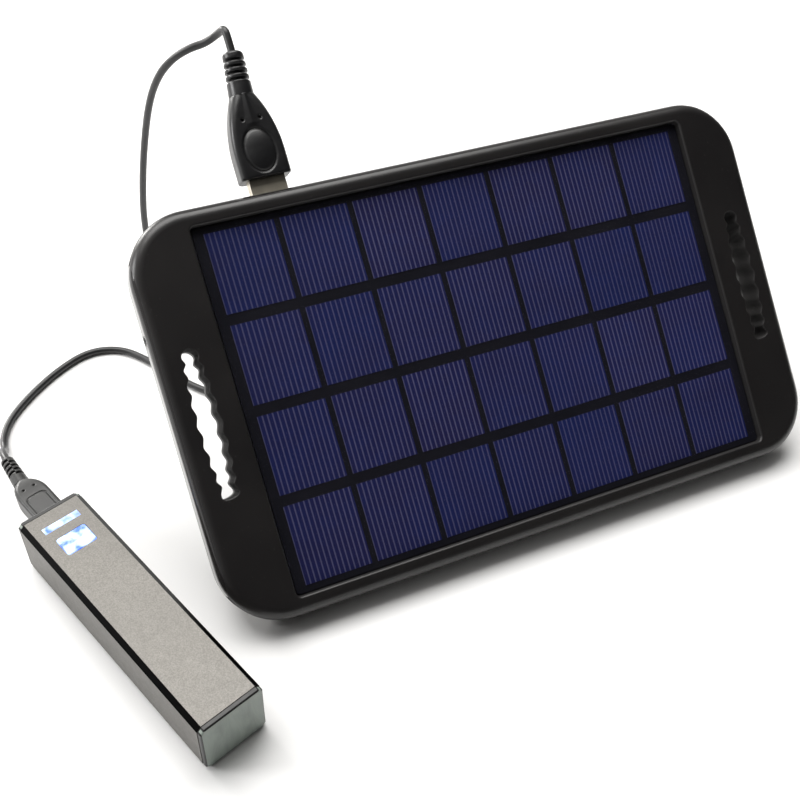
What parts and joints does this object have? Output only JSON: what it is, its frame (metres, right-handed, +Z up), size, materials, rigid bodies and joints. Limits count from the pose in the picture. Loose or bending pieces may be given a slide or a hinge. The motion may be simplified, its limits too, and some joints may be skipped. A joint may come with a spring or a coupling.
{
  "type": "solar phone charger",
  "caption": "Leaning solar panel with a rear kickstand, joined by a short USB lead to a small square power bank that lies beside it.",
  "frame": {"origin": "on the table, under the middle of the panel, stand and power bank taken together", "axes": "+X along the panel towards its right end, +Y away from the panel face, +Z up"},
  "size_m": [0.2771, 0.2255, 0.1283],
  "materials": {
    "bezel_plastic": "fine moulded grain",
    "black_plastic": "satin",
    "backing_black": "glossy",
    "solar_cell": "glossy",
    "clear_film": "clear gloss",
    "tape": "matt",
    "tinned_copper": "satin",
    "circuit_board": "satin",
    "component_black": "matt",
    "ferrite": "matt",
    "plated_steel": "satin",
    "steel": "satin",
    "gold_contact": "polished",
    "socket_plastic": "satin",
    "wire_red": "satin",
    "wire_black": "satin",
    "foot_rubber": "matt",
    "overmould_pvc": "satin",
    "cord_pvc": "satin",
    "champagne_aluminium": "bead-blasted and anodised",
    "cap_plastic": "satin",
    "seal_black": "matt",
    "battery_can": "satin",
    "battery_film": "glossy",
    "foam": "matt",
    "light_window": "translucent",
    "led_package": "glossy"
  },
  "bodies": {
    "root": {"front_bezel": "bezel_plastic", "rear_shell": "black_plastic", "solar_backing_board": "backing_black", "solar_cells": "solar_cell", "cover_film": "clear_film", "laminate_tape": "tape", "bus_ribbons": "tinned_copper", "controller_board": "circuit_board", "board_screws": "steel", "inductor": "ferrite", "controller_chip": "component_black", "capacitors": "battery_can", "schottky_diode": "component_black", "lead_red": "wire_red", "lead_black": "wire_black", "panel_socket_shell": "plated_steel", "panel_socket_tongue": "socket_plastic", "panel_socket_contacts": "gold_contact", "shell_screws": "steel", "rubber_feet": "foot_rubber", "hinge_pin": "steel"},
    "stand": {"stand_leg": "black_plastic", "stand_foot": "foot_rubber"},
    "lead": {"usb_a_plug_shell": "plated_steel", "usb_a_plug_tongue": "component_black", "usb_a_plug_contacts": "gold_contact", "usb_a_overmould": "overmould_pvc", "usb_a_strain_relief": "overmould_pvc", "charging_cord": "cord_pvc", "micro_usb_plug_shell": "plated_steel", "micro_usb_plug_insert": "component_black", "micro_usb_overmould": "overmould_pvc", "micro_usb_strain_relief": "overmould_pvc"},
    "bank": {"bank_tube": "champagne_aluminium", "near_end_cap": "cap_plastic", "far_end_cap": "cap_plastic", "end_seals": "seal_black", "battery_cell": "battery_can", "battery_wrap": "battery_film", "cell_tabs": "tinned_copper", "foam_pads": "foam", "bank_board": "circuit_board", "output_board": "circuit_board", "board_pins": "gold_contact", "bank_output_shell": "plated_steel", "bank_output_tongue": "socket_plastic", "bank_output_contacts": "gold_contact", "micro_socket_shell": "plated_steel", "micro_socket_tongue": "component_black", "indicator_lights": "led_package", "light_bar": "light_window", "switch_body": "component_black", "switch_plunger": "component_black"},
    "button": {"power_button": "light_window"}
  },
  "joints": [
    {"name": "stand_hinge", "type": "hinge", "parent": "root", "child": "stand", "pos_m": [0.02607, 0.04954, 0.07127], "axis": [-1, 0, 0], "range_deg": [0, 63]},
    {"name": "usb_a_pull", "type": "slide", "parent": "root", "child": "lead", "axis": [0, 0.7431, 0.6691], "range_m": [0, 0.012]},
    {"name": "micro_usb_pull", "type": "slide", "parent": "lead", "child": "bank", "axis": [0.3259, -0.9454, 0], "range_m": [0, 0.008]},
    {"name": "button_press", "type": "slide", "parent": "bank", "child": "button", "axis": [0, 0, -1], "range_m": [0, 0.0003], "stiffness_N_per_m": 4000}
  ]
}
